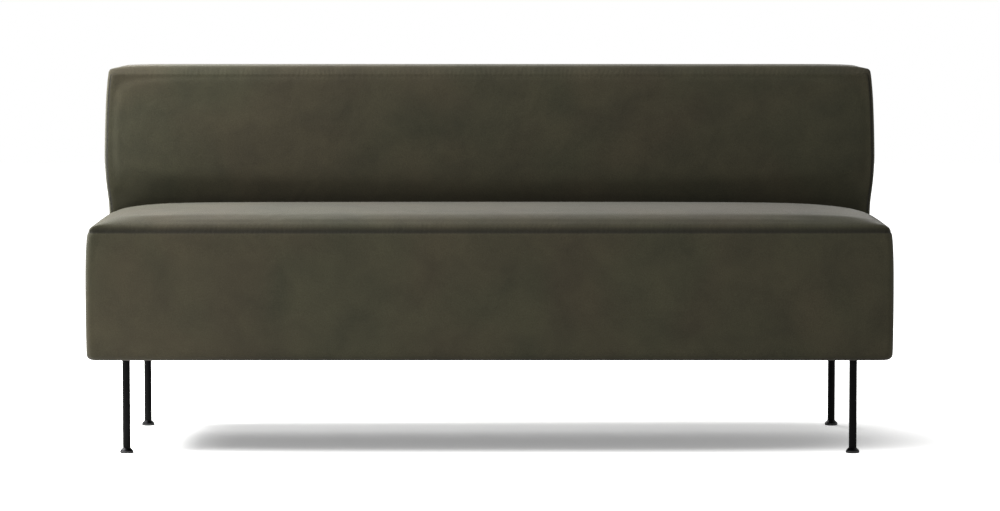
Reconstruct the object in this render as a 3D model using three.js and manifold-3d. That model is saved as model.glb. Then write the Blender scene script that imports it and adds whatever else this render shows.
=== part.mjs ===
// A dining sofa: an upholstered bench seat with a low upholstered back, on four slim steel legs
// that end in screw levelling feet. Sizes are in millimetres and +Z is up. The front faces -Y, and
// the origin is on the floor below the middle of the seat.
import * as THREE from "three";
import { mergeVertices } from "three/addons/utils/BufferGeometryUtils.js";
import Module from "manifold-3d";

const wasm = await Module();
wasm.setup();

// Overall sizes of the upholstery
const seatWidth = 1650; // across the seat's sides at their fullest
const seatDepth = 630; // front to rear of the seat at its fullest
const undersideHeight = 200; // floor to the cloth under the seat
const seatBandHeight = 261; // bottom of the seat's cover to the seam round its top
const seatCrown = 40; // how far the stuffed top stands above that seam
const backSideProud = 4; // how far each side of the backrest stands out past the seat's side
const backHeight = 310; // bottom of the backrest to the seam along its top front edge
const backTopCrown = 17; // how far the rounded top stands above that seam
const backBaseDepth = 205; // front to rear of the backrest where it meets the seat
const backLean = THREE.MathUtils.degToRad(8); // how far the backrest's front leans from upright

// The covers, and how their fabric is drawn in at the seams
const fit = 0.3; // gap between pieces that touch
const coverWall = 3; // fabric with the thin wadding behind it
const overrun = 50; // how far a cutting tool runs past what it cuts
const seatSideDraw = 5.5; // how far the seat's band is drawn in at its top seam
const seatBottomDraw = 2.5; // how far it is drawn in at its bottom edge
const seatDrawReach = 32; // distance over which the band is drawn in
const seatCornerRadius = 22; // upright corners of the seat, seen from above
const seatBottomRadius = 12; // bottom edge of the band
const seatEdgeRound = 2; // rounding of the band's top edge into the seam
const seamLip = 3; // from the band's edge to the start of the crowned top
const crownRoot = 5; // how far the crowned top is sunk behind the band
const crownReach = 55; // distance from the front in which the crown gains two thirds of its height
const crownEndReach = 36; // the same distance from the seat's two ends
const crevicePinchShare = 0.42; // the crown's fall at the backrest against its fall at the front
const crownCornerShare = 0.5; // how fast the crown's corners grow rounder away from the seam
const backSideDraw = 8.5; // how far the backrest's sides are drawn in at their top corners
const backBoxingDraw = 4; // how far the backrest's sides are drawn in at their seams
const backCornerRadius = 8; // top corners of the backrest, seen from the front
const backTopEndCrown = 10; // what is left of the rounded top at its two ends
const backTopEndReach = 25; // distance over which the top rises from its ends
const backFrontCrown = 8; // how far the front panel stands proud of its seam
const backRearCrown = 3.5; // how far the rear panel stands proud of its seam
const backPanelReach = 30; // distance in which the panels gain two thirds of that
const backFootDraw = 22; // how far the front is drawn in where it meets the seat
const backFootReach = 50; // height over which it is drawn in
const hemWidth = 20; // width of the hem that is stapled under the rails
const openGap = 2; // gap round the rail that stands in the covers' openings

// Foam, cloth and webbing
const borderFoam = 13.5; // foam round the outside of the seat frame
const coreFoam = 72; // firm foam block over the webbing
const topperEdge = 20; // thickness of the soft top layer at its edge
const backFrontFoam = 55; // foam in front of the back frame
const backTopFoam = 22; // foam over the back frame
const backSideFoam = 15; // foam at the back frame's ends
const backRearFoam = 8; // foam behind the back frame
const clothThickness = 1.5; // cloth that closes the underside
const clothInset = 24; // from the seat's fullest side to the edge of that cloth
const clothHoleGap = 1; // gap round each leg in that cloth
const webThickness = 2;
const webWidth = 60;
const crossWebs = 11; // webs that run from front to rear
const longWebs = 2; // webs that run from side to side
const webEndInset = 3; // from the frame's outer face to the ends of the webs

// Timber frame
const railThickness = 25;
const crossRails = 2; // rails that stiffen the frame between its front and the beam
const cleatHeight = 40;
const cleatWidth = 25;
const deckThickness = 18; // plywood under the backrest
const cornerBlockSize = 90;
const cornerBlockHeight = 80;
const boardThickness = 6; // plywood on the front of the back frame
const rearBoardThickness = 3; // hardboard on the rear of the back frame

// Coach screws that hold the backrest down
const coachScrewRadius = 4;
const coachScrewReach = 20; // how far each one enters the bottom rail
const coachHeadWidth = 13; // across the flats of the hexagon
const coachHeadHeight = 5.5;
const coachScrewOffset = 500; // from the middle one to each outer one

// Legs, their plates and the levelling feet
const legDiameter = 16;
const legWall = 1.5;
const legPlugHeight = 12; // solid top of the tube
const studRadius = 5; // threaded stud on top of the leg
const studHeight = 24;
const plateSize = 50;
const plateThickness = 4;
const plateMargin = 2.9; // from the rails' inner faces to the plate
const plateBossWall = 4; // threaded collar on the plate, round the stud
const plateBossHeight = 12;
const plateScrewOffsetShare = 0.34; // from the leg's axis to each screw, against the plate's size
const plateScrewRadius = 2.2;
const plateScrewHeadRadius = 4.4;
const plateScrewHeadHeight = 2.4;
const plateScrewLength = 32;
const screwTipLength = 5;
const footThreadRadius = 4;
const footThreadLength = 30;
const footThreadChamfer = 1;
const insertHeight = 18; // threaded plug in the foot of the leg
const hubHeight = 6; // cone that is turned by hand
const hubRimHeight = 1.2;
const hubRadius = 13.2;
const pinRadius = 3; // pin that the pad swivels on
const pinLength = 2.5;
const padRadius = 14;
const padThickness = 4.5;
const padToeRound = 1.5;
const padTopRound = 0.4;

// Smoothness of the faceted shapes
const cornerSteps = 6;
const roundSides = 24;
const screwSides = 12;
const hexSides = 6;

// Places that follow from the sizes, from the floor up
const backWidth = seatWidth + 2 * backSideProud;
const coverBottomZ = undersideHeight + clothThickness + fit;
const seamZ = coverBottomZ + seatBandHeight;
const frameBottomZ = coverBottomZ + Math.max(coverWall, plateThickness) + fit;
const deckTopZ = seamZ - coverWall - fit;
const deckBottomZ = deckTopZ - deckThickness;
const tallRailTopZ = deckBottomZ - fit;
const coreTopZ = seamZ - coverWall - topperEdge;
const webTopZ = coreTopZ - coreFoam - fit;
const webBottomZ = webTopZ - webThickness;
const lowRailTopZ = webBottomZ - fit;
const cleatBottomZ = lowRailTopZ - cleatHeight;
const backBottomZ = seamZ + fit;
const backSeamZ = backBottomZ + backHeight;
const bottomRailZ = deckTopZ + fit;
const bottomRailTopZ = bottomRailZ + railThickness;
const backFrameTopZ = backSeamZ - coverWall - fit - backTopFoam - fit;
const backLiningZ = backBottomZ + coverWall + fit;

// Places seen from above
const frameInset = seatSideDraw + coverWall + fit + borderFoam + fit;
const frameHalfX = seatWidth / 2 - frameInset;
const frameHalfY = seatDepth / 2 - frameInset;
const railHalfX = frameHalfX - railThickness - fit;
const creviceY = seatDepth / 2 - backBaseDepth;
const beamFrontY = creviceY - coverWall;
const backRearY = seatDepth / 2 - backRearCrown;
const rearBoardRearY = backRearY - coverWall - fit - backRearFoam - fit;
const postRearY = rearBoardRearY - rearBoardThickness - fit;
const backFrameHalfX = backWidth / 2 - backSideDraw - coverWall - fit - backSideFoam - fit;
const legX = railHalfX + fit - plateMargin - plateSize / 2;
const legY = frameHalfY - railThickness - plateMargin - plateSize / 2;

// The levelling feet, from the floor up
const hubBottomZ = padThickness + fit;
const hubTopZ = hubBottomZ + hubHeight;
const legBottomZ = hubTopZ + fit;
const legTopZ = coverBottomZ - fit;
const legRadius = legDiameter / 2;
const legBoreRadius = legRadius - legWall;

const materials = {
  fabric: new THREE.MeshStandardMaterial({ color: 0x4a483a, roughness: 0.9, metalness: 0 }),
  foam: new THREE.MeshStandardMaterial({ color: 0xd8cfae, roughness: 0.95, metalness: 0 }),
  timber: new THREE.MeshStandardMaterial({ color: 0xc9a877, roughness: 0.7, metalness: 0 }),
  webbing: new THREE.MeshStandardMaterial({ color: 0x2b2a2a, roughness: 0.85, metalness: 0 }),
  cloth: new THREE.MeshStandardMaterial({ color: 0x1c1c1c, roughness: 0.95, metalness: 0 }),
  blackSteel: new THREE.MeshStandardMaterial({ color: 0x161616, roughness: 0.5, metalness: 0.4 }),
  zincSteel: new THREE.MeshStandardMaterial({ color: 0xa9abad, roughness: 0.4, metalness: 1 }),
  nylon: new THREE.MeshStandardMaterial({ color: 0x121212, roughness: 0.6, metalness: 0 }),
};

const sofa = new THREE.Group();

function add(name, geometry, material, group = sofa) {
  const mesh = new THREE.Mesh(geometry, material);
  mesh.name = name;
  group.add(mesh);
  return mesh;
}

// A closed geometry as a manifold-3d solid.
function solidOf(geometry) {
  const bare = geometry.clone();
  bare.deleteAttribute("normal");
  bare.deleteAttribute("uv");
  const merged = mergeVertices(bare);
  return new wasm.Manifold(
    new wasm.Mesh({
      numProp: 3,
      vertProperties: new Float32Array(merged.attributes.position.array),
      triVerts: new Uint32Array(merged.index.array),
    }),
  );
}

// A manifold-3d solid as a geometry.
function geometryOf(solid) {
  const mesh = solid.getMesh();
  const geometry = new THREE.BufferGeometry();
  geometry.setAttribute("position", new THREE.BufferAttribute(mesh.vertProperties, 3));
  geometry.setIndex(new THREE.BufferAttribute(mesh.triVerts, 1));
  geometry.computeVertexNormals();
  return geometry;
}

// A box between two corners.
function box(x0, x1, y0, y1, z0, z1) {
  return new THREE.BoxGeometry(x1 - x0, y1 - y0, z1 - z0).translate(
    (x0 + x1) / 2,
    (y0 + y1) / 2,
    (z0 + z1) / 2,
  );
}

// A profile of [y, z] points, anticlockwise seen from +X, carried along X.
function alongX(profile, x0, x1) {
  const shape = new THREE.Shape(profile.map(([y, z]) => new THREE.Vector2(y, z)));
  const geometry = new THREE.ExtrudeGeometry(shape, { depth: x1 - x0, bevelEnabled: false });
  const basis = new THREE.Matrix4().makeBasis(
    new THREE.Vector3(0, 1, 0),
    new THREE.Vector3(0, 0, 1),
    new THREE.Vector3(1, 0, 0),
  );
  return geometry.applyMatrix4(basis).translate(x0, 0, 0);
}

// A profile of [radius, z] points turned about the upright axis at x, y.
function turned(profile, x, y, sides) {
  const points = profile.map(([radius, z]) => new THREE.Vector2(radius, z));
  const geometry = new THREE.LatheGeometry(points, sides);
  return geometry.rotateX(Math.PI / 2).translate(x, y, 0);
}

// A plain upright cylinder.
function post(x, y, radius, z0, z1, sides) {
  return turned([[0, z0], [radius, z0], [radius, z1], [0, z1]], x, y, sides);
}

// A closed body through rings of equal counts of points, with a fan over each end. The rings turn
// anticlockwise seen from the end that they run towards.
function loft(rings) {
  const count = rings[0].length;
  const middle = (ring) =>
    ring.reduce((sum, point) => sum.add(point), new THREE.Vector3()).divideScalar(count);
  const points = [...rings.flat(), middle(rings[0]), middle(rings.at(-1))];
  const faces = [];
  const firstMiddle = rings.length * count;
  const lastRing = firstMiddle - count;
  for (let j = 0; j < count; j++) {
    const next = (j + 1) % count;
    faces.push(firstMiddle, next, j, firstMiddle + 1, lastRing + j, lastRing + next);
    for (let i = 0; i < lastRing; i += count) {
      faces.push(i + j, i + next, i + count + next, i + j, i + count + next, i + count + j);
    }
  }
  const geometry = new THREE.BufferGeometry().setFromPoints(points);
  geometry.setIndex(faces);
  return geometry;
}

// A level rounded rectangle, anticlockwise seen from above.
function levelRing(x0, x1, y0, y1, radius, z) {
  const limited = Math.min(radius, (x1 - x0) / 2, (y1 - y0) / 2);
  const centres = [
    [x1 - limited, y1 - limited],
    [x0 + limited, y1 - limited],
    [x0 + limited, y0 + limited],
    [x1 - limited, y0 + limited],
  ];
  return centres.flatMap(([x, y], quarter) =>
    Array.from({ length: cornerSteps + 1 }, (_, step) => {
      const angle = ((quarter + step / cornerSteps) * Math.PI) / 2;
      return new THREE.Vector3(x + limited * Math.cos(angle), y + limited * Math.sin(angle), z);
    }),
  );
}

// The share of its full height that a stuffed panel has at a distance from its seam.
function swell(distance, reach) {
  return 1 - Math.exp(-distance / reach);
}

// The seat's upright band, taken in by shrink all round: a rounded bottom edge, full sides, and a
// top edge that the seam draws in.
const bandRoundShares = [0, 0.25, 0.5, 0.75, 1];
const bandLowShares = [0.5, 1.2, 2];
const bandHighShares = [2, 1.2, 0.6, 0.25];
function bandForm(shrink) {
  const bottom = coverBottomZ + shrink;
  const top = seamZ - shrink;
  const ring = (inset, z) => {
    const x = seatWidth / 2 - inset - shrink;
    const y = seatDepth / 2 - inset - shrink;
    return levelRing(-x, x, -y, y, seatCornerRadius - shrink, z);
  };
  const drawAt = (z) =>
    seatBottomDraw * Math.exp((bottom - z) / seatDrawReach) +
    seatSideDraw * Math.exp((z - top) / seatDrawReach);
  const rounding = bandRoundShares.map((share) => {
    const angle = (share * Math.PI) / 2;
    const z = bottom + seatBottomRadius * (1 - Math.cos(angle));
    return ring(drawAt(z) + seatBottomRadius * (1 - Math.sin(angle)), z);
  });
  const sides = [
    ...bandLowShares.map((share) => bottom + seatBottomRadius + share * seatDrawReach),
    ...bandHighShares.map((share) => top - share * seatDrawReach),
    top - seatEdgeRound,
  ].map((z) => ring(drawAt(z), z));
  return solidOf(loft([...rounding, ...sides, ring(drawAt(top) + seatEdgeRound, top)]));
}

// The stuffed top of the seat, in front of the backrest.
const crownShares = [0, 0.08, 0.22, 0.45, 0.8, 1.3, 2, 3];
function crownForm(shrink) {
  const inset = seatSideDraw + seamLip + shrink;
  const top = seamZ - shrink;
  const ring = (share, z) => {
    const x = seatWidth / 2 - inset - share * crownEndReach;
    const front = -(seatDepth / 2 - inset - share * crownReach);
    const rear = creviceY - shrink - share * crownReach * crevicePinchShare;
    const radius = seatCornerRadius + share * crownEndReach * crownCornerShare;
    return levelRing(-x, x, front, rear, radius, z);
  };
  const rings = crownShares.map((share) => ring(share, top + seatCrown * swell(share, 1)));
  return solidOf(loft([ring(0, top - crownRoot), ...rings]));
}

function seatForm(shrink) {
  return bandForm(shrink).add(crownForm(shrink));
}

// How far the backrest's side is drawn in at each height, as [height share, draw share].
const backSideShares = [
  [0, 1.05],
  [0.12, 0.88],
  [0.265, 0.29],
  [0.4, 0],
  [0.61, 0.09],
  [0.82, 0.29],
  [0.95, 0.65],
  [1, 1],
];
const backCornerShares = [0.33, 0.67];
const backTopShares = [0, 0.4, 1.2, 2.6, 5];

// The backrest's outline seen from the front, anticlockwise, as [x, z]. Fullness runs from 0 at
// the seams to 1 where the boxing stands proudest.
function backOutline(fullness, shrink) {
  const bottom = backBottomZ + shrink;
  const cornerZ = backSeamZ - shrink + backTopEndCrown * fullness;
  const radius = backCornerRadius - shrink;
  const slack = backBoxingDraw * (1 - fullness) + shrink;
  const sideX = (share) => backWidth / 2 - backSideDraw * share - slack;
  const side = backSideShares.map(([height, draw]) => [
    sideX(draw),
    bottom + (cornerZ - radius - bottom) * height,
  ]);
  const endX = sideX(1) - radius;
  const corner = backCornerShares.map((share) => {
    const angle = (share * Math.PI) / 2;
    return [endX + radius * Math.cos(angle), cornerZ - radius + radius * Math.sin(angle)];
  });
  const top = backTopShares.map((share) => {
    const rise = (backTopCrown - backTopEndCrown) * swell(share, 1) * fullness;
    return [endX - share * backTopEndReach, cornerZ + rise];
  });
  const right = [...side, ...corner, ...top];
  const left = right.map(([x, z]) => [-x, z]).reverse();
  return [...right, ...left];
}

// The leaning plane that the backrest's front follows, as a depth at a height, and the front
// itself, which is drawn in from that plane towards the seat.
function backPlaneY(z) {
  return creviceY - backFootDraw + (z - backBottomZ) * Math.tan(backLean);
}

function backFrontY(z) {
  return backPlaneY(z) + backFootDraw * Math.exp((backBottomZ - z) / backFootReach);
}

// The backrest, taken in by shrink all round: lofted from the rear panel, over the boxing, to the
// front panel, whose middle stands proud of its seams.
const backPanelShares = [3.6, 1.8, 0.8, 0.3, 0];
const backBoxingShares = [0, 0.05, 0.16, 0.35, 0.65, 0.84, 0.95, 1];
function backForm(shrink) {
  const rear = backRearY - shrink;
  const halfX = backWidth / 2 - backSideDraw;
  const halfZ = backHeight / 2;
  const middleZ = backBottomZ + halfZ;
  const depthAt = (z, share) => {
    const front = backFrontY(z) + shrink;
    return rear + (front - rear) * share;
  };
  const panelRing = (share, crown, depthShare) => {
    const inset = share * backPanelReach;
    const rise = crown * swell(share, 1);
    return backOutline(0, shrink).map(([x, z]) => {
      const ringX = x * (1 - inset / halfX);
      const ringZ = middleZ + (z - middleZ) * (1 - inset / halfZ);
      return new THREE.Vector3(ringX, depthAt(ringZ, depthShare) + rise, ringZ);
    });
  };
  const boxingRing = (share) => {
    const fullness = 1 - (2 * share - 1) ** 4;
    return backOutline(fullness, shrink).map(([x, z]) => new THREE.Vector3(x, depthAt(z, share), z));
  };
  const rearPanel = backPanelShares.slice(0, -1).map((share) => panelRing(share, backRearCrown, 0));
  const frontPanel = backPanelShares
    .slice(0, -1)
    .reverse()
    .map((share) => panelRing(share, -backFrontCrown, 1));
  return solidOf(loft([...rearPanel, ...backBoxingShares.map(boxingRing), ...frontPanel]));
}

// The bottom rail's footprint in the backrest, which both covers leave open.
const boardFrontY = (z) => backPlaneY(z) + coverWall + fit + backFrontFoam + fit;
const boardRearY = (z) => boardFrontY(z) + boardThickness;
const bottomRailFrontY = boardRearY(bottomRailTopZ) + fit;
function railOpening(z0, z1) {
  const halfX = backFrameHalfX + openGap;
  return solidOf(box(-halfX, halfX, bottomRailFrontY - openGap, postRearY + openGap, z0, z1));
}

// Seat cover: one sewn shell, open under the frame and under the backrest.
function buildSeatCover() {
  const hemHalfX = frameHalfX - hemWidth;
  const hemHalfY = frameHalfY - hemWidth;
  const hemOpening = solidOf(
    box(-hemHalfX, hemHalfX, -hemHalfY, hemHalfY, coverBottomZ - overrun, coverBottomZ + overrun),
  );
  const shell = seatForm(0)
    .subtract(seatForm(coverWall))
    .subtract(hemOpening)
    .subtract(railOpening(deckTopZ, backBottomZ + overrun));
  add("seat_cover", geometryOf(shell), materials.fabric);
}

// What fills the seat's cover: the soft topper, the firm core, the foam round the frame, and the
// plywood deck that the backrest stands on.
function buildSeatFilling() {
  const inside = seatForm(coverWall + fit);
  const farX = seatWidth / 2 + overrun;
  const farY = seatDepth / 2 + overrun;
  const farZ = seamZ + seatCrown + overrun;
  const topper = inside.intersect(
    solidOf(box(-farX, farX, -farY, beamFrontY - fit, coreTopZ + fit, farZ)),
  );
  add("seat_topper", geometryOf(topper), materials.foam);

  const core = box(-frameHalfX, frameHalfX, -frameHalfY, beamFrontY - fit, webTopZ + fit, coreTopZ);
  add("seat_foam_core", core, materials.foam);

  const borderTop = Math.min(coreTopZ, tallRailTopZ);
  const holeX = frameHalfX + fit;
  const holeY = frameHalfY + fit;
  const border = inside
    .intersect(solidOf(box(-farX, farX, -farY, farY, coverBottomZ, borderTop)))
    .subtract(solidOf(box(-holeX, holeX, -holeY, holeY, coverBottomZ - overrun, borderTop + overrun)));
  add("seat_border_foam", geometryOf(border), materials.foam);

  let deck = inside.intersect(solidOf(box(-farX, farX, beamFrontY, farY, deckBottomZ, deckTopZ)));
  for (const x of coachScrewPlaces) {
    const hole = post(x, coachScrewY, coachScrewRadius + fit, deckBottomZ - overrun, farZ, screwSides);
    deck = deck.subtract(solidOf(hole));
  }
  add("back_support_deck", geometryOf(deck), materials.timber);
}

// Rails of the seat frame. The side rails step up to carry the deck.
function buildSeatFrame() {
  const inner = frameHalfX - railThickness;
  const frontInner = -frameHalfY + railThickness;
  add(
    "seat_front_rail",
    box(-railHalfX, railHalfX, -frameHalfY, frontInner, frameBottomZ, lowRailTopZ),
    materials.timber,
  );
  add(
    "seat_rear_rail",
    box(-railHalfX, railHalfX, frameHalfY - railThickness, frameHalfY, frameBottomZ, tallRailTopZ),
    materials.timber,
  );
  add(
    "back_support_beam",
    box(-railHalfX, railHalfX, beamFrontY, beamFrontY + railThickness, frameBottomZ, tallRailTopZ),
    materials.timber,
  );
  const sideProfile = [
    [-frameHalfY, frameBottomZ],
    [frameHalfY, frameBottomZ],
    [frameHalfY, tallRailTopZ],
    [beamFrontY, tallRailTopZ],
    [beamFrontY, lowRailTopZ],
    [-frameHalfY, lowRailTopZ],
  ];
  add("seat_left_rail", alongX(sideProfile, -frameHalfX, -inner), materials.timber);
  add("seat_right_rail", alongX(sideProfile, inner, frameHalfX), materials.timber);

  const cleatRear = beamFrontY - fit;
  add(
    "webbing_cleat",
    box(-railHalfX, railHalfX, cleatRear - cleatWidth, cleatRear, cleatBottomZ, lowRailTopZ),
    materials.timber,
  );
  const crossPitch = (2 * railHalfX) / (crossRails + 1);
  for (let i = 1; i <= crossRails; i++) {
    const x = -railHalfX + i * crossPitch;
    const rail = box(
      x - railThickness / 2,
      x + railThickness / 2,
      frontInner + fit,
      cleatRear,
      frameBottomZ,
      cleatBottomZ - fit,
    );
    add(`seat_cross_rail_${i}`, rail, materials.timber);
  }
}

// The webbing: elastic webs from front to rear, crossed by webs from side to side, as one mat.
function buildWebbing() {
  const front = -frameHalfY + webEndInset;
  const rear = beamFrontY - fit;
  const halfX = frameHalfX - webEndInset;
  const crossPitch = (2 * halfX - webWidth) / (crossWebs - 1);
  const longPitch = (rear - front) / (longWebs + 1);
  let mat = null;
  const weave = (geometry) => {
    mat = mat ? mat.add(solidOf(geometry)) : solidOf(geometry);
  };
  for (let i = 0; i < crossWebs; i++) {
    const x = -halfX + i * crossPitch;
    weave(box(x, x + webWidth, front, rear, webBottomZ, webTopZ));
  }
  for (let i = 1; i <= longWebs; i++) {
    const y = front + i * longPitch - webWidth / 2;
    weave(box(-halfX, halfX, y, y + webWidth, webBottomZ, webTopZ));
  }
  add("seat_webbing", geometryOf(mat), materials.webbing);
}

// Cloth that closes the underside, with a hole for each leg.
function buildUndersideCloth() {
  const halfX = seatWidth / 2 - clothInset;
  const halfY = seatDepth / 2 - clothInset;
  const outline = new THREE.Shape([
    new THREE.Vector2(-halfX, -halfY),
    new THREE.Vector2(halfX, -halfY),
    new THREE.Vector2(halfX, halfY),
    new THREE.Vector2(-halfX, halfY),
  ]);
  for (const { x, y } of corners) {
    outline.holes.push(new THREE.Path().absarc(x, y, legRadius + clothHoleGap, 0, 2 * Math.PI, true));
  }
  const cloth = new THREE.ExtrudeGeometry(outline, {
    depth: clothThickness,
    bevelEnabled: false,
    curveSegments: screwSides,
  });
  add("underside_cloth", cloth.translate(0, 0, undersideHeight), materials.cloth);
}

// Timber frame of the backrest: three posts between two rails, with a board on each face.
function buildBackFrame() {
  const topRailBottomZ = backFrameTopZ - railThickness;
  const topRailFrontY = boardRearY(backFrameTopZ) + fit;
  let bottomRail = solidOf(
    box(-backFrameHalfX, backFrameHalfX, bottomRailFrontY, postRearY, bottomRailZ, bottomRailTopZ),
  );
  for (const x of coachScrewPlaces) {
    const top = coachScrewTopZ + fit;
    const hole = post(x, coachScrewY, coachScrewRadius + fit, bottomRailZ - overrun, top, screwSides);
    bottomRail = bottomRail.subtract(solidOf(hole));
  }
  add("back_bottom_rail", geometryOf(bottomRail), materials.timber);
  add(
    "back_top_rail",
    box(-backFrameHalfX, backFrameHalfX, topRailFrontY, postRearY, topRailBottomZ, backFrameTopZ),
    materials.timber,
  );

  const postBottomZ = bottomRailTopZ + fit;
  const postTopZ = topRailBottomZ - fit;
  const postProfile = [
    [boardRearY(postBottomZ) + fit, postBottomZ],
    [postRearY, postBottomZ],
    [postRearY, postTopZ],
    [boardRearY(postTopZ) + fit, postTopZ],
  ];
  const endX = backFrameHalfX - railThickness / 2;
  for (const [place, x] of [["left", -endX], ["middle", 0], ["right", endX]]) {
    const upright = alongX(postProfile, x - railThickness / 2, x + railThickness / 2);
    add(`back_post_${place}`, upright, materials.timber);
  }

  const frontBoard = [
    [boardFrontY(backLiningZ), backLiningZ],
    [boardRearY(backLiningZ), backLiningZ],
    [boardRearY(backFrameTopZ), backFrameTopZ],
    [boardFrontY(backFrameTopZ), backFrameTopZ],
  ];
  add("back_front_board", alongX(frontBoard, -backFrameHalfX, backFrameHalfX), materials.timber);
  add(
    "back_rear_board",
    box(
      -backFrameHalfX,
      backFrameHalfX,
      postRearY + fit,
      rearBoardRearY,
      backLiningZ,
      backFrameTopZ,
    ),
    materials.timber,
  );
}

// Foam and cover of the backrest. The front pad lies before the front board, and the wrap goes over
// the frame's top, ends and rear.
function buildBackUpholstery() {
  const inside = backForm(coverWall + fit);
  const farX = backWidth / 2 + overrun;
  const farY = seatDepth / 2 + overrun;
  const lowZ = backBottomZ - overrun;
  const highZ = backSeamZ + backTopCrown + overrun;
  const behindBoard = (gap) =>
    alongX(
      [
        [boardFrontY(lowZ) - gap, lowZ],
        [farY, lowZ],
        [farY, highZ],
        [boardFrontY(highZ) - gap, highZ],
      ],
      -farX,
      farX,
    );
  const pad = inside.subtract(solidOf(behindBoard(fit)));
  add("back_front_foam", geometryOf(pad), materials.foam);

  const frameSpace = alongX(
    [
      [boardFrontY(lowZ) - overrun, lowZ],
      [rearBoardRearY + fit, lowZ],
      [rearBoardRearY + fit, backFrameTopZ + fit],
      [boardFrontY(backFrameTopZ) - overrun, backFrameTopZ + fit],
    ],
    -backFrameHalfX - fit,
    backFrameHalfX + fit,
  );
  const wrap = inside.intersect(solidOf(behindBoard(0))).subtract(solidOf(frameSpace));
  add("back_wrap_foam", geometryOf(wrap), materials.foam);

  const shell = backForm(0)
    .subtract(backForm(coverWall))
    .subtract(railOpening(seamZ - overrun, backLiningZ));
  add("back_cover", geometryOf(shell), materials.fabric);
}

// Coach screws, up through the deck into the backrest's bottom rail.
const coachScrewPlaces = [-coachScrewOffset, 0, coachScrewOffset];
const coachScrewY = (bottomRailFrontY + postRearY) / 2;
const coachScrewTopZ = bottomRailZ + coachScrewReach;
function buildCoachScrews() {
  const headTopZ = deckBottomZ - fit;
  const headRadius = coachHeadWidth / 2 / Math.cos(Math.PI / hexSides);
  coachScrewPlaces.forEach((x, i) => {
    const headBottomZ = headTopZ - coachHeadHeight;
    const head = post(x, coachScrewY, headRadius, headBottomZ, headTopZ, hexSides);
    const shank = post(x, coachScrewY, coachScrewRadius, headBottomZ, coachScrewTopZ, screwSides);
    const screw = solidOf(head).add(solidOf(shank));
    add(`back_coach_screw_${i + 1}`, geometryOf(screw), materials.zincSteel);
  });
}

// The four corners of the sofa.
const corners = [
  { place: "front_left", x: -legX, y: -legY },
  { place: "front_right", x: legX, y: -legY },
  { place: "rear_left", x: -legX, y: legY },
  { place: "rear_right", x: legX, y: legY },
];

// A countersunk wood screw, head down, and the space that it needs with a gap all round.
function plateScrewProfile(gap) {
  const headTopZ = coverBottomZ + plateScrewHeadHeight;
  const tipZ = coverBottomZ + plateScrewLength + gap;
  return [
    [0, coverBottomZ - gap],
    [plateScrewHeadRadius + gap, coverBottomZ - gap],
    [plateScrewRadius + gap, headTopZ],
    [plateScrewRadius + gap, tipZ - screwTipLength],
    [0, tipZ],
  ];
}

function screwPlaces({ x, y }) {
  const offset = plateSize * plateScrewOffsetShare;
  return [
    [x + offset, y + Math.sign(x * y) * offset],
    [x - offset, y - Math.sign(x * y) * offset],
  ];
}

// Corner block, leg plate with its screws, and the leg, with the insert that its foot screws into.
function buildLeg(corner) {
  const { place, x, y } = corner;
  const sideX = Math.sign(x);
  const sideY = Math.sign(y);
  const bossRadius = studRadius + fit + plateBossWall;
  const bossTopZ = coverBottomZ + plateThickness + plateBossHeight;
  const studTopZ = legTopZ + studHeight;

  const outerX = sideX * railHalfX;
  const outerY = sideY * (frameHalfY - railThickness - fit);
  const innerX = outerX - sideX * cornerBlockSize;
  const innerY = outerY - sideY * cornerBlockSize;
  let block = solidOf(
    box(
      Math.min(outerX, innerX),
      Math.max(outerX, innerX),
      Math.min(outerY, innerY),
      Math.max(outerY, innerY),
      frameBottomZ,
      frameBottomZ + cornerBlockHeight,
    ),
  );
  const low = coverBottomZ - overrun;
  block = block
    .subtract(solidOf(post(x, y, bossRadius + fit, low, bossTopZ + fit, roundSides)))
    .subtract(solidOf(post(x, y, studRadius + fit, low, studTopZ + fit, roundSides)));

  const half = plateSize / 2;
  let plate = solidOf(
    box(x - half, x + half, y - half, y + half, coverBottomZ, coverBottomZ + plateThickness),
  )
    .add(solidOf(post(x, y, bossRadius, coverBottomZ, bossTopZ, roundSides)))
    .subtract(solidOf(post(x, y, studRadius + fit, low, bossTopZ + overrun, roundSides)));

  screwPlaces(corner).forEach(([screwX, screwY], i) => {
    const space = solidOf(turned(plateScrewProfile(fit), screwX, screwY, screwSides));
    block = block.subtract(space);
    plate = plate.subtract(space);
    const screw = turned(plateScrewProfile(0), screwX, screwY, screwSides);
    add(`plate_screw_${place}_${i + 1}`, screw, materials.zincSteel);
  });
  add(`corner_block_${place}`, geometryOf(block), materials.timber);
  add(`leg_plate_${place}`, geometryOf(plate), materials.zincSteel);

  const boreTopZ = legTopZ - legPlugHeight;
  const leg = turned(
    [
      [0, boreTopZ],
      [legBoreRadius, boreTopZ],
      [legBoreRadius, legBottomZ],
      [legRadius, legBottomZ],
      [legRadius, legTopZ],
      [studRadius, legTopZ],
      [studRadius, studTopZ],
      [0, studTopZ],
    ],
    x,
    y,
    roundSides,
  );
  add(`leg_${place}`, leg, materials.blackSteel);

  const insertTopZ = legBottomZ + insertHeight;
  const insertInner = footThreadRadius + fit;
  const insertOuter = legBoreRadius - fit;
  const insert = turned(
    [
      [insertInner, legBottomZ],
      [insertOuter, legBottomZ],
      [insertOuter, insertTopZ],
      [insertInner, insertTopZ],
      [insertInner, legBottomZ],
    ],
    x,
    y,
    roundSides,
  );
  add(`leg_insert_${place}`, insert, materials.zincSteel);
}

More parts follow.
